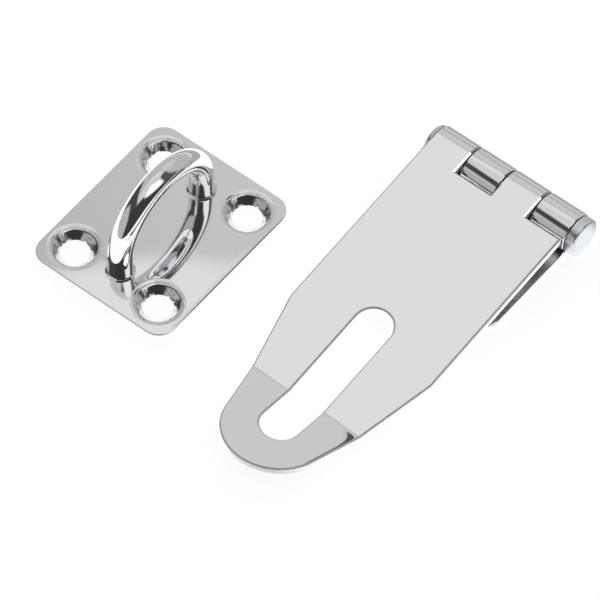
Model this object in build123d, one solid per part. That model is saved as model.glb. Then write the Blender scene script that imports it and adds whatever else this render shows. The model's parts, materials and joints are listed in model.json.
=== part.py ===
from build123d import *
from math import acos, asin, atan2, cos, degrees, hypot, radians, sin, tan
import os

# Padlock hasp set in polished stainless sheet: a slotted leaf on a riveted hinge,
# and a bent round-bar staple on a plate of its own.
# Millimetres. Z = 0 is the mounting plane and +Z points away from it. X runs along the hinge pin.
# The origin is the middle of the hinge leaf's screw pattern, on the leaf's back.

# Sheet and edges
SHEET = 2.0                  # thickness of both leaves and of the staple plate
EDGE_BREAK = 0.35            # edges broken before the sheet was polished

# Hinge
LEAF_WIDTH = 34.0            # both leaves, and the knuckles together
PIN_D = 4.4                  # shank of the hinge pin
PIN_CLEARANCE = 0.05         # between shank and bore, on the radius
KNUCKLES = 4                 # hasp leaf first, at -X, then by turns
KNUCKLE_GAP = 0.2            # between neighbouring knuckles
NOTCH_CLEARANCE = 0.4        # between a leaf's notch and the other leaf's knuckle
ROLL_ARC = 280.0             # degrees of roll after the leaf's flat
PIN_HEAD_D = 8.0
PIN_HEAD_HEIGHT = 2.0
PIN_TAIL_D = 7.8             # riveted end of the pin
PIN_TAIL_HEIGHT = 0.9
PIN_BREAK = 0.4              # rims of the pin's head and riveted end
PIN_END_GAP = 0.1            # between the knuckles and the pin's head or tail

# Hinge leaf
HINGE_LEAF_LENGTH = 27.9     # from the pin's axis to the free end
HINGE_SCREW_NOTCH_INSET = 5.85       # from the notches to the first row of screws
HINGE_SCREW_END_INSET = 6.2  # from the free end to the last row of screws
HINGE_SCREW_INSET = 6.7      # from the leaf's sides to the screws
CORNER_ROUND = 4.0           # corners of the hinge leaf and of the staple plate

# Screw holes in the hinge leaf and in the staple plate
SCREW_HOLE_D = 6.0
COUNTERSINK_D = 9.6
COUNTERSINK_ANGLE = 90.0

# Staple and its plate
PLATE_WIDTH = 33.5           # along X
PLATE_LENGTH = 40.6          # along Y
PLATE_SCREW_INSET_X = 6.45
PLATE_SCREW_INSET_Y = 6.8
BAR_D = 5.0                  # round bar of the staple
STAPLE_SPAN = 24.6           # between the middles of its two legs
STAPLE_LEG = 4.2             # straight part of a leg, above the plate
FOOT_D = 5.9                 # flared foot of a leg
FOOT_HEIGHT = 0.7
TENON_D = 3.6                # end of a leg, through the plate
TENON_CLEARANCE = 0.03       # between tenon and plate, on the radius
RIVET_D = 4.8                # tenon's end, riveted flush in the plate's back
RIVET_DEPTH = 0.6
PLATE_FROM_AXIS = (-46.6, -47.7)     # middle of the plate, from the middle of the hinge pin

# Hasp leaf
SHOULDER_FROM_AXIS = 44.7    # where the leaf starts to narrow
SHOULDER_ROUND = 4.0
SLOT_FROM_AXIS = 54.9        # middle of the slot
SLOT_SIDE_CLEARANCE = 1.5    # between the slot and the staple's bar, each side
SLOT_END_CLEARANCE = 3.1     # between the slot and the staple's bar, each end
RING_WIDTH = 6.8             # sheet beside the slot's outer end
TIP_SHIFT = 1.0              # how far the round tip's centre lies beyond the slot end's
LIFT_FROM_AXIS = 61.4        # where the flat of the leaf ends and the finger lift begins
LIFT_ANGLE = 17.0            # how far the finger lift is bent up from the flat
LIFT_BEND = 3.0              # inner radius of that bend
REST_CLEARANCE = 0.05        # between the lying leaf and the mounting plane

# Places that follow from the sizes
BORE_R = PIN_D / 2 + PIN_CLEARANCE
BARREL_R = BORE_R + SHEET
NOTCH_FROM_AXIS = BARREL_R + NOTCH_CLEARANCE
FIRST_ROW = NOTCH_FROM_AXIS + HINGE_SCREW_NOTCH_INSET
LAST_ROW = HINGE_LEAF_LENGTH - HINGE_SCREW_END_INSET
AXIS_Y = (FIRST_ROW + LAST_ROW) / 2
AXIS_Z = BARREL_R
KNUCKLE_PITCH = LEAF_WIDTH / KNUCKLES
PLATE_X = PLATE_FROM_AXIS[0]
PLATE_Y = AXIS_Y + PLATE_FROM_AXIS[1]
SLOT_WIDTH = BAR_D + 2 * SLOT_SIDE_CLEARANCE
SLOT_LENGTH = STAPLE_SPAN + BAR_D + 2 * SLOT_END_CLEARANCE
SLOT_END = SLOT_FROM_AXIS + (SLOT_LENGTH - SLOT_WIDTH) / 2
TIP_R = SLOT_WIDTH / 2 + RING_WIDTH
TIP_FROM_AXIS = SLOT_END + TIP_SHIFT
REACH = TIP_FROM_AXIS + 2 * TIP_R
TALL = REACH                 # height of cutters, more than that of any piece


def rest_tilt():
    """Degrees that the hasp leaf leans down when the lift's bend lies on the mounting plane."""
    outer_bend = LIFT_BEND + SHEET
    bend_from_axis = LIFT_FROM_AXIS - LIFT_BEND * tan(radians(LIFT_ANGLE / 2))
    above_axis = BARREL_R + LIFT_BEND
    drop = outer_bend + REST_CLEARANCE - AXIS_Z
    return degrees(acos(drop / hypot(above_axis, bend_from_axis)) - atan2(bend_from_axis, above_axis))


def sheet_across(path_at):
    """Sheet as wide as the leaf, between a path in the YZ plane on its outside and one on its inside."""
    outside, inside = path_at(0), path_at(SHEET)
    ends = [Line(outside @ end, inside @ end) for end in (0, 1)]
    profile = make_face([*outside.edges(), *inside.edges(), *ends])
    return extrude(Plane.YZ * profile, LEAF_WIDTH / 2, both=True)


def notches(first):
    """Blocks that clear every second knuckle, from knuckle number first on, for the other leaf's roll."""
    block_width = KNUCKLE_PITCH + KNUCKLE_GAP
    blocks = []
    for number in range(first, KNUCKLES, 2):
        middle = -LEAF_WIDTH / 2 + (number + 0.5) * KNUCKLE_PITCH
        at_end = number in (0, KNUCKLES - 1)
        outward = -1 if number == 0 else 1
        width = block_width + (KNUCKLE_PITCH if at_end else 0)
        shift = outward * KNUCKLE_PITCH / 2 if at_end else 0
        box = Box(width, 2 * NOTCH_FROM_AXIS, TALL)
        blocks.append(Pos(middle + shift, 0, 0) * box)
    return blocks


def broken(leaf, roll_end):
    """The leaf with its cut edges broken, in a frame with the pin on X.
    Bend lines run along X, and corners through the sheet run along Z or along the roll's end.
    The rims of the bore stay sharp."""
    across = leaf.edges().filter_by(Axis.X)
    through = leaf.edges().filter_by(Axis.Z) + leaf.edges().filter_by(roll_end)
    circles = leaf.edges().filter_by(GeomType.CIRCLE)
    bore = circles.filter_by(lambda circle: abs(circle.radius - BORE_R) < EDGE_BREAK)
    lip_places = (-NOTCH_FROM_AXIS, -HINGE_LEAF_LENGTH)
    lips = [edge for edge in across if min(abs(edge.center().Y - y) for y in lip_places) < EDGE_BREAK / 10]
    rims = [edge for edge in leaf.edges() if edge not in across + through + bore]
    return chamfer(rims + lips, EDGE_BREAK)


def leaf_outline():
    """Plan of the hasp leaf: straight sides, shoulders, tapers that meet the round tip."""
    half = LEAF_WIDTH / 2
    run = TIP_FROM_AXIS - SHOULDER_FROM_AXIS
    taper = atan2(half, run) - asin(TIP_R / hypot(half, run))
    touch_x = TIP_R * cos(taper)
    touch_y = -TIP_FROM_AXIS - TIP_R * sin(taper)
    right = [(half, 2 * BARREL_R), (half, -SHOULDER_FROM_AXIS), (touch_x, touch_y)]
    left = [(-x, y) for x, y in reversed(right)]
    body = Polygon(*right, *left, align=None)
    shoulders = body.vertices().filter_by(lambda v: abs(v.Y + SHOULDER_FROM_AXIS) < EDGE_BREAK)
    return fillet(shoulders, SHOULDER_ROUND) + Pos(0, -TIP_FROM_AXIS) * Circle(TIP_R)


def hasp_path(depth):
    """Side view of the hasp leaf at a depth below its outside: finger lift, flat and roll."""
    lift = radians(LIFT_ANGLE)
    bend = Vector(-LIFT_FROM_AXIS, BARREL_R)
    end = bend + Vector(-REACH * cos(lift), REACH * sin(lift))
    below_lift = Vector(-sin(lift), -cos(lift))
    below_bend = Vector(-tan(lift / 2), -1)
    corners = [end + below_lift * depth, bend + below_bend * depth, (0, BARREL_R - depth)]
    run = FilletPolyline(*corners, radius=LIFT_BEND + depth)
    roll = CenterArc((0, 0), BARREL_R - depth, 90, -ROLL_ARC)
    return Wire([*run.edges(), roll])


def hasp_leaf():
    """Slotted leaf: rolled knuckles, flat and bent-up finger lift in one sheet."""
    leaf = sheet_across(hasp_path)
    leaf = leaf & extrude(leaf_outline(), TALL, both=True)
    slot = Pos(0, -SLOT_FROM_AXIS) * Rot(0, 0, 90) * SlotOverall(SLOT_LENGTH, SLOT_WIDTH)
    leaf = leaf - extrude(slot, TALL, both=True) - notches(first=1)
    leaf = broken(leaf, Axis((0, 0, 0), (0, cos(radians(ROLL_ARC - 90)), -sin(radians(ROLL_ARC - 90)))))
    return Pos(0, AXIS_Y, AXIS_Z) * Rot(rest_tilt(), 0, 0) * leaf


def screw_hole():
    """What a countersunk screw takes out of a sheet on Z = 0: hole and countersink."""
    hole_r = SCREW_HOLE_D / 2
    sink_r = COUNTERSINK_D / 2
    sink_depth = (sink_r - hole_r) / tan(radians(COUNTERSINK_ANGLE / 2))
    wall = [(0, -SHEET), (hole_r, -SHEET), (hole_r, SHEET - sink_depth)]
    section = Polyline(*wall, (sink_r, SHEET), (sink_r, 2 * SHEET), (0, 2 * SHEET), close=True)
    return revolve(Plane.XZ * make_face(section), Axis.Z)


def screwed(sheet, spacing_x, spacing_y):
    """A sheet on Z = 0 with countersunk screw holes at the corners of a rectangle."""
    return sheet - [place * screw_hole() for place in GridLocations(spacing_x, spacing_y, 2, 2)]


def hinge_path(depth):
    """Side view of the hinge leaf at a depth inside its outside: flat and roll."""
    radius = BARREL_R - depth
    flat = Line((-HINGE_LEAF_LENGTH, -radius), (0, -radius))
    return Wire([flat, CenterArc((0, 0), radius, -90, ROLL_ARC)])


def hinge_leaf():
    """Fixed leaf: lies on the mounting plane and rolls up round the pin."""
    leaf = sheet_across(hinge_path) - notches(first=0)
    leaf = fillet(leaf.edges().filter_by(Axis.Z).group_by(Axis.Y)[0], CORNER_ROUND)
    leaf = broken(leaf, Axis((0, 0, 0), (0, cos(radians(ROLL_ARC - 90)), sin(radians(ROLL_ARC - 90)))))
    leaf = Pos(0, AXIS_Y, AXIS_Z) * leaf
    return screwed(leaf, LEAF_WIDTH - 2 * HINGE_SCREW_INSET, LAST_ROW - FIRST_ROW)


def hinge_pin():
    """Pin turned about X: round head at +X, shank, and a lower riveted head at -X."""
    shank_end = LEAF_WIDTH / 2 + PIN_END_GAP
    shank_r = PIN_D / 2

    def half(out, height, radius):
        """Outline of one end, from the shank to the middle of its face."""
        face = out * (shank_end + height)
        rim = [(face - out * PIN_BREAK, radius), (face, radius - PIN_BREAK)]
        return [(out * shank_end, shank_r), (out * shank_end, radius), *rim, (face, 0)]

    tail = half(-1, PIN_TAIL_HEIGHT, PIN_TAIL_D / 2)
    head = half(1, PIN_HEAD_HEIGHT, PIN_HEAD_D / 2)
    section = make_face(Polyline(*reversed(tail), *head, close=True))
    return Pos(0, AXIS_Y, AXIS_Z) * revolve(section, Axis.X)


def staple_feet():
    """Where the staple's legs stand, from the middle of its plate."""
    return [Pos(0, y, 0) for y in (-STAPLE_SPAN / 2, STAPLE_SPAN / 2)]


def tenon(clearance):
    """End of a leg through the plate, with its riveted end flush with the back."""
    shank = Pos(0, 0, SHEET / 2) * Cylinder(TENON_D / 2 + clearance, SHEET)
    rivet = Pos(0, 0, RIVET_DEPTH / 2) * Cone(RIVET_D / 2 + clearance, TENON_D / 2 + clearance, RIVET_DEPTH)
    return shank + rivet


def staple_plate():
    """Plate with rounded corners, four countersunk screws and the seats of the staple's tenons."""
    plate = extrude(RectangleRounded(PLATE_WIDTH, PLATE_LENGTH, CORNER_ROUND), SHEET)
    plate = chamfer(plate.edges() - plate.edges().filter_by(Axis.Z), EDGE_BREAK)
    spacing_x = PLATE_WIDTH - 2 * PLATE_SCREW_INSET_X
    spacing_y = PLATE_LENGTH - 2 * PLATE_SCREW_INSET_Y
    plate = screwed(plate, spacing_x, spacing_y)
    plate = plate - [foot * tenon(TENON_CLEARANCE) for foot in staple_feet()]
    return Pos(PLATE_X, PLATE_Y, 0) * plate


def staple():
    """Round bar bent to an arch, with flared feet on the plate and riveted tenons through it."""
    half = STAPLE_SPAN / 2
    spring = SHEET + STAPLE_LEG
    legs = [Line((-half, SHEET), (-half, spring)), Line((half, spring), (half, SHEET))]
    bow = CenterArc((0, spring), half, 180, -180)
    path = Plane.YZ * Wire([legs[0], bow, legs[1]])
    bar = sweep(Pos(0, -half, SHEET) * Circle(BAR_D / 2), path)
    flare = Pos(0, 0, SHEET + FOOT_HEIGHT / 2) * Cone(FOOT_D / 2, BAR_D / 2, FOOT_HEIGHT)
    for foot in staple_feet():
        bar = bar + foot * (flare + tenon(0))
    return Pos(PLATE_X, PLATE_Y, 0) * bar


os.makedirs("parts", exist_ok=True)
for piece in (hasp_leaf, hinge_leaf, hinge_pin, staple_plate, staple):
    export_step(piece(), f"parts/{piece.__name__}.step")
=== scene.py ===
import json
from collections import namedtuple
from math import cos, radians, sin

import bpy
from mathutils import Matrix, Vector


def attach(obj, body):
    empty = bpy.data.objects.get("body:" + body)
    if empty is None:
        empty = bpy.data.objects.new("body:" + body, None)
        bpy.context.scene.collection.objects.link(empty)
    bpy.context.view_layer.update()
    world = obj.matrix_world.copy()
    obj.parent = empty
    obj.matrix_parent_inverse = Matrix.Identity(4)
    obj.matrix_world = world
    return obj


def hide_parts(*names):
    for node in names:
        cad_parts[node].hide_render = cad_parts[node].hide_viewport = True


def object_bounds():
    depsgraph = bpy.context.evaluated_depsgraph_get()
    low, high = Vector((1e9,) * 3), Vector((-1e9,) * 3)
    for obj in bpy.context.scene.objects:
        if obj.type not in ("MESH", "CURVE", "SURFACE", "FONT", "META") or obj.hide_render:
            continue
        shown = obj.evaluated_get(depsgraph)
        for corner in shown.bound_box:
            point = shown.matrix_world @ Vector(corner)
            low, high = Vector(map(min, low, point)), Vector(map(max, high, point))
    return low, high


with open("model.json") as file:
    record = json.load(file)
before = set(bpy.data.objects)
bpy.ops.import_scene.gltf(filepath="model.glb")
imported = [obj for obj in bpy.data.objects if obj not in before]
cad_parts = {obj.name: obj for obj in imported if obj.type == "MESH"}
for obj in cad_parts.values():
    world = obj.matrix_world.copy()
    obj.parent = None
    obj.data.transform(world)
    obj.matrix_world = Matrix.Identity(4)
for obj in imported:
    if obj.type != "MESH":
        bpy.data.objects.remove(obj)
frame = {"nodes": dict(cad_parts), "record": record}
cad_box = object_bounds()

bl_info = {
    "name": "Padlock Hasp",
    "version": (1, 0, 0),
    "blender": (4, 5, 0),
    "location": "View3D > Sidebar > Hasp",
    "description": "Polished steel finish, studio and camera for a padlock hasp set",
    "category": "Object",
}

MM = 0.001
NODES = frame["nodes"]
MOUNTS = {mount["name"]: mount for mount in frame["record"]["mounts"]}
HINGE = frame["record"]["behaviour"]["joints"][0]
BODY_OF = {node: body for body, nodes in frame["record"]["behaviour"]["bodies"].items() for node in nodes}

# One soft-edged area of the studio, by where it stands in the sky: degrees of azimuth from the camera's
# side, positive to the right, and degrees above the floor. Power 2 is an ellipse, higher ones are squarer.
Panel = namedtuple("Panel", "name azimuth elevation half_width half_height power softness radiance")
ROOM_RADIANCE = 0.58
STUDIO = (
    Panel("ceiling softbox", 180, 90, 720, 30, 2, 0.06, 0.76),
    Panel("key softbox", 50, 55, 34, 31, 2.5, 0.12, 1.22),
    Panel("right panel frame", 112, 6, 38, 58, 2.5, 0.06, 0.1),
    Panel("right panel", 170, 6, 79, 53, 3, 0.05, 0.58),
    Panel("right panel, upper half", 158, 50, 30, 14, 2, 0.5, 0.68),
    Panel("right panel, hot spot", 168, 35, 22, 6, 2, 0.3, 0.72),
    Panel("ceiling softbox, back edge", 190, 63.5, 27, 6, 4, 0.22, 0.9),
    Panel("left panel frame", -60, 0, 82, 60, 2, 0.06, 0.07),
    Panel("camera shade", 0, 0, 86, 66, 1.3, 0.08, 0.05),
    Panel("left panel", -67, 2, 41, 36, 2.5, 0.1, 0.56),
    Panel("back sweep", 162, -14, 50, 18, 2.5, 0.15, 1.1),
)

# Joining and shading of the copied solids
JOIN_WITHIN = MM / 1000
FLAT_WITHIN = radians(0.3)
SMOOTH_UNDER = radians(50)

# How faces are told apart: by a share of their normal, 1 being square to the axis, and by where they lie
SINK_R = 4.8 * MM
SINK_UPRIGHT = 0.8
BROKEN_UPRIGHT = (0.4, 0.93)
BROKEN_SIDEWAYS = 0.4
CUT_SIDEWAYS = 0.93
NOTCH_FROM_AXIS = 4.65 * MM
NOTCH_EDGE = 0.5 * MM
KNUCKLES_HALF = 16.5 * MM
INNER_UPRIGHT = 0.95
INNER_AREA = 100 * MM * MM
SECOND_MATERIAL = 1
THIRD_MATERIAL = 2

# Polishing lines and smudges: texture scales, and what they add to roughness, colour and height
LINE_SCALE = (2600, 130, 2600)
LINE_DETAIL = 3
LINE_ROUGHNESS = 0.03
LINE_HEIGHT = 0.0004 * MM
SMUDGE_SCALE = 90
SMUDGE_DETAIL = 4
SMUDGE_ROUGHNESS = 0.04
CLEAN_TINT = (1.0, 1.0, 1.015)
SMUDGE_TINT = (0.985, 0.985, 0.98)

# Grain of the countersinks, and mottle of the pin
GRAIN_SCALE = 2600
GRAIN_DETAIL = 3
GRAIN_HEIGHT = 0.016 * MM
GRAIN_STOPS = ((0.35, (0.48, 0.48, 0.49, 1)), (0.65, (0.76, 0.76, 0.77, 1)))
MOTTLE_SCALE = 700
MOTTLE_DETAIL = 4
MOTTLE_ROUGHNESS = 0.2
MOTTLE_TINT = (0.9, 0.92, 0.95)

# Lips round the plate's countersinks and beside the knuckles: how steeply they lean
SINK_LIP_SLOPE = 0.45
NOTCH_LIP_LEAN = (0.17, 0.15, -0.16)

# Rolled corner at the right end of the lift's bend, in the leaf's place at rest
ROLL_CORNER = (12.8 * MM, -45.5 * MM)
ROLL_ROUND = 0.5 * MM
ROLL_DELAY = 0.8 * MM
ROLL_TAPER = 0.22
ROLL_WIDTH = 6.0 * MM
ROLL_LEAST = 0.6 * MM
ROLL_FADE = 1.1 * MM
ROLL_START = 0.7 * MM
ROLL_SLOPE = 1.15
ROLL_WAY = (1.0, -0.22, 0.0)

# Stage
FLOOR_DROP = 0.05 * MM
# Painted shade in the floor's reflection: grey from this far behind the hinge
GREY_FROM_HINGE = 4 * MM
GREY_RAMP = 4 * MM
SENSOR_WIDTH = 36
CLIP_START = 0.01
CLIP_END = 100


class FinishSettings(bpy.types.PropertyGroup):
    """Colours and polish of the steel."""

    steel_colour: bpy.props.FloatVectorProperty(
        name="Steel colour",
        description="Reflected colour of the polished steel",
        default=(0.8, 0.8, 0.81),
        subtype="COLOR",
        min=0.0,
        max=1.0,
    )
    polish: bpy.props.FloatProperty(
        name="Polish roughness",
        description="Roughness of the mirror-polished faces",
        default=0.04,
        subtype="FACTOR",
        min=0.0,
        max=1.0,
    )
    plate_polish: bpy.props.FloatProperty(
        name="Plate roughness",
        description="Roughness of the staple plate, polished a little less",
        default=0.06,
        subtype="FACTOR",
        min=0.0,
        max=1.0,
    )
    machined: bpy.props.FloatProperty(
        name="Machined roughness",
        description="Roughness of the countersinks and of the lips beside the knuckles",
        default=0.12,
        subtype="FACTOR",
        min=0.0,
        max=1.0,
    )
    # Darker than the steel: painted shade that draws thin dark outlines on the edges and darkens the flats
    # between the leaves
    painted_shade_colour: bpy.props.FloatVectorProperty(
        name="Edge colour",
        description="Colour of the broken edges, which the polishing wheel reaches less",
        default=(0.66, 0.66, 0.67),
        subtype="COLOR",
        min=0.0,
        max=1.0,
    )
    # Lighter than the steel: a painted highlight on the lips beside the knuckles
    lip_highlight_colour: bpy.props.FloatVectorProperty(
        name="Lip colour",
        description="Colour of the bright lips beside the knuckles",
        default=(0.95, 0.95, 0.95),
        subtype="COLOR",
        min=0.0,
        max=1.0,
    )
    edge_satin: bpy.props.FloatProperty(
        name="Edge roughness",
        description="Roughness of the broken edges and cut walls",
        default=0.7,
        subtype="FACTOR",
        min=0.0,
        max=1.0,
    )
    inner_satin: bpy.props.FloatProperty(
        name="Inner face roughness",
        description="Roughness of the flats that the two leaves turn to each other",
        default=0.35,
        subtype="FACTOR",
        min=0.0,
        max=1.0,
    )
    sink_lip: bpy.props.FloatProperty(
        name="Countersink lip",
        description="Width of the soft lip round a countersink in the staple plate",
        default=0.8 * MM,
        unit="LENGTH",
        min=0.0,
    )
    pin_colour: bpy.props.FloatVectorProperty(
        name="Pin colour",
        description="Colour of the satin hinge pin",
        default=(0.74, 0.76, 0.78),
        subtype="COLOR",
        min=0.0,
        max=1.0,
    )
    pin_satin: bpy.props.FloatProperty(
        name="Pin roughness",
        description="Roughness of the satin hinge pin",
        default=0.3,
        subtype="FACTOR",
        min=0.0,
        max=1.0,
    )
    plate_crown: bpy.props.FloatProperty(
        name="Plate crown radius",
        description="Radius of the faint crown that polishing leaves on the staple plate",
        default=0.26,
        unit="LENGTH",
        min=0.05,
    )


class StudioSettings(bpy.types.PropertyGroup):
    """Camera and floor."""

    azimuth: bpy.props.FloatProperty(
        name="Azimuth",
        description="Side that the camera looks from; 0 looks along +Y",
        default=radians(38.74),
        subtype="ANGLE",
    )
    elevation: bpy.props.FloatProperty(
        name="Elevation",
        description="Height of the camera above the floor, as an angle",
        default=radians(54.9),
        subtype="ANGLE",
    )
    distance: bpy.props.FloatProperty(
        name="Distance",
        description="From the camera to the point that it looks at",
        default=1.5272,
        unit="LENGTH",
    )
    target: bpy.props.FloatVectorProperty(
        name="Target",
        description="Point that the camera looks at",
        default=(-16.39 * MM, -26.73 * MM, 0.0),
        subtype="XYZ",
        unit="LENGTH",
    )
    lens: bpy.props.FloatProperty(
        name="Lens",
        description="Focal length on a 36 mm sensor, in millimetres",
        default=480.0,
        unit="CAMERA",
    )
    floor_size: bpy.props.FloatProperty(
        name="Floor size",
        description="Side of the square floor",
        default=40.0,
        unit="LENGTH",
    )
    floor_colour: bpy.props.FloatVectorProperty(
        name="Floor colour",
        description="Colour of the floor",
        default=(0.3, 0.3, 0.3),
        subtype="COLOR",
        min=0.0,
        max=1.0,
    )
    floor_white: bpy.props.FloatProperty(
        name="Floor white",
        description="White that the floor adds for the camera",
        default=0.85,
        subtype="FACTOR",
        min=0.0,
        max=1.0,
    )
    floor_bright: bpy.props.FloatProperty(
        name="Floor brightness",
        description="Light that the burnt-out white floor adds for reflections",
        default=1.1,
        subtype="FACTOR",
        min=0.0,
        max=1.5,
    )
    # Painted shade in the floor's reflection behind the hinge
    floor_grey: bpy.props.FloatProperty(
        name="Floor grey",
        description="Light that the floor behind the hinge adds for reflections",
        default=0.33,
        subtype="FACTOR",
        min=0.0,
        max=1.0,
    )
    lift_shade: bpy.props.FloatProperty(
        name="Lift shade",
        description="Share of the floor's reflected light that is left close to the finger lift",
        default=0.6,
        subtype="FACTOR",
        min=0.0,
        max=1.0,
    )
    shade_side: bpy.props.FloatProperty(
        name="Shade side",
        description="How far the shade's middle lies to the right of the lift's tip",
        default=3.0 * MM,
        unit="LENGTH",
    )
    shade_core: bpy.props.FloatProperty(
        name="Shade core",
        description="Radius within which the shade by the lift is full",
        default=3.0 * MM,
        unit="LENGTH",
    )
    shade_reach: bpy.props.FloatProperty(
        name="Shade reach",
        description="Radius at which the shade by the lift ends",
        default=17.0 * MM,
        unit="LENGTH",
    )


# Node trees

def add_node(tree, kind, **values):
    """A shader node with its properties and, by name or number, its inputs set."""
    made = tree.nodes.new(kind)
    inputs = values.pop("inputs", {})
    for name, value in values.items():
        setattr(made, name, value)
    for name, value in inputs.items():
        if isinstance(value, bpy.types.NodeSocket):
            tree.links.new(value, made.inputs[name])
        else:
            made.inputs[name].default_value = value
    return made


def math(tree, operation, *values):
    """A Math node's result."""
    return add_node(tree, "ShaderNodeMath", operation=operation, inputs=dict(enumerate(values))).outputs[0]


def eased(tree, value, start, end, first=0, last=1):
    """A value that goes softly from first to last while another goes from start to end."""
    return add_node(
        tree,
        "ShaderNodeMapRange",
        interpolation_type="SMOOTHSTEP",
        inputs={"Value": value, "From Min": start, "From Max": end, "To Min": first, "To Max": last},
    ).outputs[0]


def vector_math(tree, operation, first, second):
    """A Vector Math node's outputs."""
    return add_node(tree, "ShaderNodeVectorMath", operation=operation, inputs={0: first, 1: second}).outputs


def object_place(tree):
    """Where a point lies in its own object."""
    return add_node(tree, "ShaderNodeTexCoord").outputs["Object"]


def noise(tree, place, scale, detail):
    """A Noise texture's value."""
    inputs = {"Vector": place, "Scale": scale, "Detail": detail}
    return add_node(tree, "ShaderNodeTexNoise", inputs=inputs).outputs["Fac"]


def new_steel(name):
    """A metal, with its node tree and its shader."""
    material = bpy.data.materials.new(name)
    material.use_nodes = True
    tree = material.node_tree
    shader = tree.nodes["Principled BSDF"]
    shader.inputs["Metallic"].default_value = 1.0
    return material, tree, shader


def tinted(tree, shader, mix, colours):
    """Colours a shader between two colours."""
    tint = add_node(tree, "ShaderNodeMix", data_type="RGBA", inputs={"Factor": mix})
    for name, colour in zip(("A", "B"), colours):
        tint.inputs[name].default_value = (*colour, 1)
    tree.links.new(tint.outputs["Result"], shader.inputs["Base Color"])


def bumped(tree, shader, height, normal=None):
    """Gives a shader a height in metres, over its own normal or another."""
    bump = add_node(tree, "ShaderNodeBump", inputs={"Strength": 1.0, "Distance": 1.0, "Height": height})
    if normal is not None:
        tree.links.new(normal, bump.inputs["Normal"])
    tree.links.new(bump.outputs["Normal"], shader.inputs["Normal"])


def shaded(colour, shares):
    """A colour with its channels multiplied by shares."""
    return [channel * share for channel, share in zip(colour, shares)]


def plate_height(tree, place, mount, settings):
    """Height of the staple plate's face: a faint crown, and soft lips round the countersinks."""
    off_centre = vector_math(tree, "SUBTRACT", place, mount["pos_m"])["Vector"]
    apart = add_node(tree, "ShaderNodeSeparateXYZ", inputs={"Vector": off_centre}).outputs
    squares = [math(tree, "MULTIPLY", apart[axis], apart[axis]) for axis in ("X", "Y")]
    crown = math(tree, "MULTIPLY", math(tree, "ADD", *squares), -0.5 / settings.plate_crown)
    sides = []
    for axis, spacing in (("X", "spacing_x_mm"), ("Y", "spacing_y_mm")):
        half = mount["dims"][spacing] * MM / 2
        from_row = math(tree, "SUBTRACT", math(tree, "ABSOLUTE", apart[axis]), half)
        sides.append(math(tree, "MULTIPLY", from_row, from_row))
    from_screw = math(tree, "SQRT", math(tree, "ADD", *sides))
    reach = SINK_R + settings.sink_lip
    inside = math(tree, "MAXIMUM", math(tree, "SUBTRACT", reach, from_screw), 0)
    steepness = -0.5 * SINK_LIP_SLOPE / settings.sink_lip
    lip = math(tree, "MULTIPLY", math(tree, "MULTIPLY", inside, inside), steepness)
    return math(tree, "ADD", crown, lip)


def lift_normal(tree, place):
    """Normal of the leaf's face, which leans outwards at the right end of the lift's bend."""
    apart = add_node(tree, "ShaderNodeSeparateXYZ", inputs={"Vector": place}).outputs
    past_bend = math(tree, "SUBTRACT", ROLL_CORNER[1], apart["Y"])
    edge = math(tree, "SUBTRACT", ROLL_CORNER[0], math(tree, "MULTIPLY", past_bend, ROLL_TAPER))
    from_edge = math(tree, "SUBTRACT", edge, apart["X"])
    fading = math(tree, "EXPONENT", math(tree, "DIVIDE", past_bend, -ROLL_FADE))
    width = math(tree, "MULTIPLY_ADD", fading, ROLL_WIDTH, ROLL_LEAST)
    inside = math(tree, "MAXIMUM", math(tree, "SUBTRACT", width, from_edge), 0)
    share = math(tree, "DIVIDE", inside, width)
    round_off = math(tree, "EXPONENT", math(tree, "DIVIDE", from_edge, -ROLL_ROUND))
    begins = math(tree, "MULTIPLY", round_off, ROLL_DELAY)
    start = eased(tree, math(tree, "SUBTRACT", past_bend, begins), 0, ROLL_START)
    lean = math(tree, "MULTIPLY", math(tree, "MULTIPLY", share, ROLL_SLOPE), start)
    way = add_node(tree, "ShaderNodeVectorMath", operation="SCALE", inputs={0: ROLL_WAY, "Scale": lean})
    outward = add_node(
        tree,
        "ShaderNodeVectorTransform",
        vector_type="VECTOR",
        convert_from="OBJECT",
        convert_to="WORLD",
        inputs={"Vector": way.outputs[0]},
    ).outputs[0]
    normal = add_node(tree, "ShaderNodeNewGeometry").outputs["Normal"]
    leaning = vector_math(tree, "ADD", normal, outward)["Vector"]
    return add_node(tree, "ShaderNodeVectorMath", operation="NORMALIZE", inputs={0: leaning}).outputs[0]


def polished_steel(name, settings, polish, mount=None, lift=False):
    """Mirror-polished steel with faint lines along Y and soft smudges.
    With a mount it has the form of the plate there, and with lift the rolled corner of the leaf."""
    material, tree, shader = new_steel(name)
    place = object_place(tree)
    lines_at = add_node(tree, "ShaderNodeMapping", inputs={"Vector": place, "Scale": LINE_SCALE})
    lines = noise(tree, lines_at.outputs[0], 1, LINE_DETAIL)
    smudges = noise(tree, place, SMUDGE_SCALE, SMUDGE_DETAIL)
    streak = math(tree, "MULTIPLY", lines, LINE_ROUGHNESS)
    smudge = math(tree, "MULTIPLY", smudges, SMUDGE_ROUGHNESS)
    least = polish - (LINE_ROUGHNESS + SMUDGE_ROUGHNESS) / 2
    rough = math(tree, "ADD", math(tree, "ADD", streak, smudge), least)
    tree.links.new(rough, shader.inputs["Roughness"])
    colours = [shaded(settings.steel_colour, shares) for shares in (CLEAN_TINT, SMUDGE_TINT)]
    tinted(tree, shader, smudges, colours)
    height = math(tree, "MULTIPLY", lines, LINE_HEIGHT)
    if mount:
        height = math(tree, "ADD", height, plate_height(tree, place, mount, settings))
    normal = lift_normal(tree, place) if lift else None
    bumped(tree, shader, height, normal)
    return material


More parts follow.
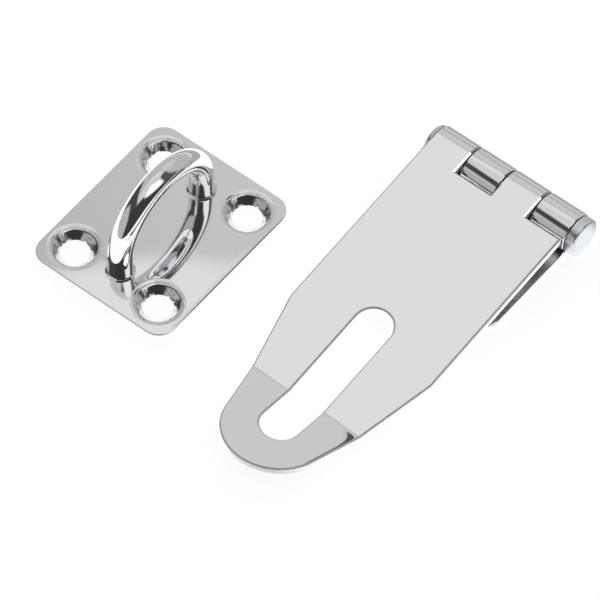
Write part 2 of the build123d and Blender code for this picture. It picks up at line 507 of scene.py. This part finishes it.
def machined_steel(name, settings):
    """Countersink left as the tool cut it: rough, speckled, with torn marks."""
    material, tree, shader = new_steel(name)
    grain = noise(tree, object_place(tree), GRAIN_SCALE, GRAIN_DETAIL)
    speckle = add_node(tree, "ShaderNodeValToRGB", inputs={"Fac": grain})
    for stop, (position, colour) in zip(speckle.color_ramp.elements, GRAIN_STOPS):
        stop.position = position
        stop.color = colour
    tree.links.new(speckle.outputs["Color"], shader.inputs["Base Color"])
    shader.inputs["Roughness"].default_value = settings.machined
    bumped(tree, shader, math(tree, "MULTIPLY", grain, GRAIN_HEIGHT))
    return material


def edge_steel(name, colour, roughness):
    """Broken edge or inner face: the same steel, less polished, in a darker colour that is painted shade.
    """
    material, _, shader = new_steel(name)
    shader.inputs["Base Color"].default_value = (*colour, 1)
    shader.inputs["Roughness"].default_value = roughness
    return material


def lip_steel(name, settings):
    """Lip beside a knuckle, which the cut has rolled a little towards the tip; its light colour is a
    painted highlight.
    """
    material, tree, shader = new_steel(name)
    shader.inputs["Base Color"].default_value = (*settings.lip_highlight_colour, 1)
    shader.inputs["Roughness"].default_value = settings.machined
    height = vector_math(tree, "DOT_PRODUCT", object_place(tree), NOTCH_LIP_LEAN)["Value"]
    flat = add_node(tree, "ShaderNodeNewGeometry").outputs["True Normal"]
    bumped(tree, shader, height, flat)
    return material


def satin_steel(name, settings):
    """Turned pin with a satin, faintly mottled surface."""
    material, tree, shader = new_steel(name)
    mottle = noise(tree, object_place(tree), MOTTLE_SCALE, MOTTLE_DETAIL)
    tinted(tree, shader, mottle, (settings.pin_colour, shaded(settings.pin_colour, MOTTLE_TINT)))
    least = settings.pin_satin - MOTTLE_ROUGHNESS / 2
    rough = math(tree, "ADD", math(tree, "MULTIPLY", mottle, MOTTLE_ROUGHNESS), least)
    tree.links.new(rough, shader.inputs["Roughness"])
    return material


# Pieces

def copied(node, name):
    """A copy of a solid with its triangles joined."""
    bpy.ops.object.select_all(action="DESELECT")
    piece = bpy.data.objects.new(name, NODES[node].data.copy())
    bpy.context.scene.collection.objects.link(piece)
    bpy.context.view_layer.objects.active = piece
    piece.select_set(True)
    piece.data.materials.clear()
    bpy.ops.mesh.customdata_custom_splitnormals_clear()
    bpy.ops.object.mode_set(mode="EDIT")
    bpy.ops.mesh.select_all(action="SELECT")
    bpy.ops.mesh.remove_doubles(threshold=JOIN_WITHIN)
    bpy.ops.object.mode_set(mode="OBJECT")
    return piece


def refine(piece):
    """Makes a piece's flats whole, and shades its bends and broken edges smooth."""
    bpy.ops.object.mode_set(mode="EDIT")
    bpy.ops.mesh.select_all(action="SELECT")
    bpy.ops.mesh.dissolve_limited(angle_limit=FLAT_WITHIN)
    bpy.ops.object.mode_set(mode="OBJECT")
    bpy.ops.object.shade_smooth_by_angle(angle=SMOOTH_UNDER)
    weighted = piece.modifiers.new("Weighted normals", "WEIGHTED_NORMAL")
    weighted.keep_sharp = True
    bpy.ops.object.modifier_apply(modifier=weighted.name)


def screw_centres(mount):
    """The places of a mount's four screws."""
    middle = Vector(mount["pos_m"])
    half_x = mount["dims"]["spacing_x_mm"] * MM / 2
    half_y = mount["dims"]["spacing_y_mm"] * MM / 2
    return [middle + Vector((x, y, 0)) for x in (-half_x, half_x) for y in (-half_y, half_y)]


def sink_faces(piece, mount):
    """Gives the faces of the countersinks their second material."""
    centres = screw_centres(mount)
    for face in piece.data.polygons:
        away = min((face.center - centre).xy.length for centre in centres)
        if away < SINK_R and abs(face.normal.z) < SINK_UPRIGHT:
            face.material_index = SECOND_MATERIAL


def edge_faces(piece):
    """Gives the leaf's broken edges and cut walls their second material, whose darker colour is painted
    shade.
    Its lips beside the knuckles get their third, whose lighter colour is a painted highlight."""
    axis_line = HINGE["pos_m"][1]
    notch_line = axis_line - NOTCH_FROM_AXIS
    least, most = BROKEN_UPRIGHT
    for face in piece.data.polygons:
        sideways = abs(face.normal.x)
        broken = least < face.normal.z < most
        broken_side = broken and sideways > BROKEN_SIDEWAYS
        before_notch = face.center.y < notch_line + NOTCH_EDGE
        beside_knuckle = face.center.y > notch_line and abs(face.center.x) < KNUCKLES_HALF
        if beside_knuckle and broken_side and face.center.y < axis_line:
            face.material_index = THIRD_MATERIAL
        elif broken_side or (broken and before_notch) or (beside_knuckle and sideways > CUT_SIDEWAYS):
            face.material_index = SECOND_MATERIAL


def inner_faces(piece, facing):
    """Gives the flat of a leaf that faces the other leaf its last material."""
    for face in piece.data.polygons:
        if face.normal.z * facing > INNER_UPRIGHT and face.area > INNER_AREA:
            face.material_index = len(piece.data.materials) - 1


def settle(piece, node):
    """Puts a finished piece in the place of its solid."""
    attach(piece, BODY_OF[node])
    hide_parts(node)


class HASP_OT_hasp_leaf(bpy.types.Operator):
    """Slotted leaf with its knuckles and finger lift"""

    bl_idname = "hasp.hasp_leaf"
    bl_label = "Hasp leaf"

    def execute(self, context):
        finish = context.scene.hasp_finish
        piece = copied("hasp_leaf", "polished_hasp_leaf")
        refine(piece)
        piece.data.materials.append(polished_steel("Polished leaf", finish, finish.polish, lift=True))
        # The edges' darker colour is painted shade, drawing thin dark outlines
        piece.data.materials.append(edge_steel("Leaf edges", finish.painted_shade_colour, finish.edge_satin))
        piece.data.materials.append(lip_steel("Notch lips", finish))
        edge_faces(piece)
        # The inner face takes the same darker colour: painted shade between the leaves
        inner = edge_steel("Inner face of the leaf", finish.painted_shade_colour, finish.inner_satin)
        piece.data.materials.append(inner)
        inner_faces(piece, -1)
        settle(piece, "hasp_leaf")
        return {"FINISHED"}


class HASP_OT_hinge_leaf(bpy.types.Operator):
    """Fixed leaf with its knuckles and countersinks"""

    bl_idname = "hasp.hinge_leaf"
    bl_label = "Hinge leaf"

    def execute(self, context):
        finish = context.scene.hasp_finish
        piece = copied("hinge_leaf", "polished_hinge_leaf")
        refine(piece)
        piece.data.materials.append(polished_steel("Polished hinge leaf", finish, finish.polish))
        piece.data.materials.append(machined_steel("Machined hinge leaf countersinks", finish))
        sink_faces(piece, MOUNTS["hinge_leaf_screws"])
        # The inner face takes the same darker colour: painted shade between the leaves
        inner = edge_steel("Inner face of the hinge leaf", finish.painted_shade_colour, finish.inner_satin)
        piece.data.materials.append(inner)
        inner_faces(piece, 1)
        settle(piece, "hinge_leaf")
        return {"FINISHED"}


class HASP_OT_hinge_pin(bpy.types.Operator):
    """Pin with a round head and a riveted tail"""

    bl_idname = "hasp.hinge_pin"
    bl_label = "Hinge pin"

    def execute(self, context):
        piece = copied("hinge_pin", "satin_hinge_pin")
        refine(piece)
        piece.data.materials.append(satin_steel("Satin pin", context.scene.hasp_finish))
        settle(piece, "hinge_pin")
        return {"FINISHED"}


class HASP_OT_staple_plate(bpy.types.Operator):
    """Plate under the staple, with its countersinks"""

    bl_idname = "hasp.staple_plate"
    bl_label = "Staple plate"

    def execute(self, context):
        finish = context.scene.hasp_finish
        mount = MOUNTS["staple_plate_screws"]
        piece = copied("staple_plate", "polished_staple_plate")
        refine(piece)
        piece.data.materials.append(polished_steel("Polished plate", finish, finish.plate_polish, mount))
        piece.data.materials.append(machined_steel("Machined plate countersinks", finish))
        sink_faces(piece, mount)
        settle(piece, "staple_plate")
        return {"FINISHED"}


class HASP_OT_staple(bpy.types.Operator):
    """Round bar bent to an arch"""

    bl_idname = "hasp.staple"
    bl_label = "Staple"

    def execute(self, context):
        finish = context.scene.hasp_finish
        piece = copied("staple", "polished_staple")
        refine(piece)
        piece.data.materials.append(polished_steel("Polished bar", finish, finish.polish))
        settle(piece, "staple")
        return {"FINISHED"}


# Stage

def panel_group():
    """Node group that lays one soft-edged panel over the radiance below it."""
    group = bpy.data.node_groups.new("Studio panel", "ShaderNodeTree")
    names = ("Below", "Azimuth", "Elevation", *Panel._fields[1:])
    for name in names:
        group.interface.new_socket(name, in_out="INPUT", socket_type="NodeSocketFloat")
    group.interface.new_socket("Radiance", in_out="OUTPUT", socket_type="NodeSocketFloat")
    given = group.nodes.new("NodeGroupInput").outputs
    turn = math(group, "WRAP", math(group, "SUBTRACT", given["Azimuth"], given["azimuth"]), 180, -180)
    rise = math(group, "SUBTRACT", given["Elevation"], given["elevation"])
    across = math(group, "ABSOLUTE", math(group, "DIVIDE", turn, given["half_width"]))
    along = math(group, "ABSOLUTE", math(group, "DIVIDE", rise, given["half_height"]))
    total = math(
        group,
        "ADD",
        math(group, "POWER", across, given["power"]),
        math(group, "POWER", along, given["power"]),
    )
    radius = math(group, "POWER", total, math(group, "DIVIDE", 1, given["power"]))
    inner = math(group, "SUBTRACT", 1, given["softness"])
    outer = math(group, "ADD", 1, given["softness"])
    cover = eased(group, radius, inner, outer, 1, 0)
    change = math(group, "SUBTRACT", given["radiance"], given["Below"])
    laid = math(group, "MULTIPLY_ADD", cover, change, given["Below"])
    out = group.nodes.new("NodeGroupOutput")
    group.links.new(laid, out.inputs["Radiance"])
    return group


def light_studio(scene, azimuth):
    """World with the studio's panels, laid out from the camera's side."""
    world = bpy.data.worlds.new("Studio")
    world.use_nodes = True
    scene.world = world
    tree = world.node_tree
    way = add_node(tree, "ShaderNodeTexCoord").outputs["Generated"]
    front = (sin(azimuth), -cos(azimuth), 0)
    right = (cos(azimuth), sin(azimuth), 0)
    ahead = vector_math(tree, "DOT_PRODUCT", way, front)["Value"]
    aside = vector_math(tree, "DOT_PRODUCT", way, right)["Value"]
    upward = vector_math(tree, "DOT_PRODUCT", way, (0, 0, 1))["Value"]
    turn = math(tree, "DEGREES", math(tree, "ARCTAN2", aside, ahead))
    rise = math(tree, "DEGREES", math(tree, "ARCSINE", upward))
    radiance = ROOM_RADIANCE
    group = panel_group()
    for panel in STUDIO:
        values = {"Below": radiance, "Azimuth": turn, "Elevation": rise, **panel._asdict()}
        label = values.pop("name")
        laid = add_node(tree, "ShaderNodeGroup", node_tree=group, label=label, inputs=values)
        radiance = laid.outputs[0]
    tree.links.new(radiance, tree.nodes["Background"].inputs["Color"])


def lay_floor(settings):
    """Pale floor that keeps the shadow and reaches white for the camera and for reflections.
    Its reflection is painted shade: grey behind the hinge, and darker close to the lift."""
    bpy.ops.object.select_all(action="DESELECT")
    bpy.ops.mesh.primitive_plane_add(size=settings.floor_size, location=(0, 0, -FLOOR_DROP))
    floor = bpy.context.active_object
    floor.name = "floor"
    material = bpy.data.materials.new("White floor")
    material.use_nodes = True
    tree = material.node_tree
    tree.nodes.clear()
    paper = add_node(tree, "ShaderNodeBsdfDiffuse", inputs={"Color": (*settings.floor_colour, 1)})
    path = add_node(tree, "ShaderNodeLightPath").outputs
    place = object_place(tree)
    along = add_node(tree, "ShaderNodeSeparateXYZ", inputs={"Vector": place}).outputs["Y"]
    grey_start = HINGE["pos_m"][1] + GREY_FROM_HINGE
    grey_end = grey_start + GREY_RAMP
    # Painted shade: the floor's reflection greys behind the hinge
    open_floor = eased(tree, along, grey_start, grey_end, settings.floor_bright, settings.floor_grey)
    # Painted shadow: the floor's reflection darkens close to the lift
    middle = (settings.shade_side, cad_box[0][1], 0)
    away = vector_math(tree, "DISTANCE", place, middle)["Value"]
    shade = eased(tree, away, settings.shade_core, settings.shade_reach, settings.lift_shade, 1)
    seen = math(tree, "MULTIPLY", open_floor, shade)
    mirrored = math(tree, "MULTIPLY", path["Is Glossy Ray"], seen)
    plain = math(tree, "MAXIMUM", path["Is Camera Ray"], path["Is Transmission Ray"])
    plain = math(tree, "MULTIPLY", plain, settings.floor_white)
    glow = add_node(tree, "ShaderNodeEmission", inputs={"Strength": math(tree, "MAXIMUM", mirrored, plain)})
    both = add_node(tree, "ShaderNodeAddShader", inputs={0: paper.outputs[0], 1: glow.outputs[0]})
    out = add_node(tree, "ShaderNodeOutputMaterial", inputs={"Surface": both.outputs[0]})
    tree.nodes.active = out
    floor.data.materials.append(material)


def place_camera(scene, settings):
    """Camera on a long lens at the photograph's viewing angle."""
    level = cos(settings.elevation)
    back = Vector((sin(settings.azimuth) * level, -cos(settings.azimuth) * level, sin(settings.elevation)))
    target = Vector(settings.target)
    bpy.ops.object.camera_add(location=target + back * settings.distance)
    camera = bpy.context.active_object
    camera.name = "camera"
    camera.rotation_euler = (-back).to_track_quat("-Z", "Y").to_euler()
    camera.data.sensor_width = SENSOR_WIDTH
    camera.data.lens = settings.lens
    camera.data.clip_start = CLIP_START
    camera.data.clip_end = CLIP_END
    scene.camera = camera


class HASP_OT_stage(bpy.types.Operator):
    """Floor, studio light and camera"""

    bl_idname = "hasp.stage"
    bl_label = "Stage"

    def execute(self, context):
        scene = context.scene
        settings = scene.hasp_studio
        light_studio(scene, settings.azimuth)
        lay_floor(settings)
        place_camera(scene, settings)
        scene.view_settings.view_transform = "Standard"
        return {"FINISHED"}


class HASP_PT_panel(bpy.types.Panel):
    """Lists the hasp's pieces and settings"""

    bl_idname = "HASP_PT_panel"
    bl_label = "Padlock hasp"
    bl_space_type = "VIEW_3D"
    bl_region_type = "UI"
    bl_category = "Hasp"

    def draw(self, context):
        for operator in OPERATORS:
            self.layout.operator(operator.bl_idname)
        for settings in (context.scene.hasp_finish, context.scene.hasp_studio):
            for name in settings.__annotations__:
                self.layout.prop(settings, name)


OPERATORS = (
    HASP_OT_hasp_leaf,
    HASP_OT_hinge_leaf,
    HASP_OT_hinge_pin,
    HASP_OT_staple_plate,
    HASP_OT_staple,
    HASP_OT_stage,
)
CLASSES = (FinishSettings, StudioSettings, *OPERATORS, HASP_PT_panel)


def register():
    for cls in CLASSES:
        bpy.utils.register_class(cls)
    bpy.types.Scene.hasp_finish = bpy.props.PointerProperty(type=FinishSettings)
    bpy.types.Scene.hasp_studio = bpy.props.PointerProperty(type=StudioSettings)


def unregister():
    del bpy.types.Scene.hasp_studio
    del bpy.types.Scene.hasp_finish
    for cls in reversed(CLASSES):
        bpy.utils.unregister_class(cls)


def main():
    """Builds the whole scene, piece by piece."""
    register()
    bpy.ops.hasp.hasp_leaf()
    bpy.ops.hasp.hinge_leaf()
    bpy.ops.hasp.hinge_pin()
    bpy.ops.hasp.staple_plate()
    bpy.ops.hasp.staple()
    bpy.ops.hasp.stage()


if __name__ == "__main__":
    main()
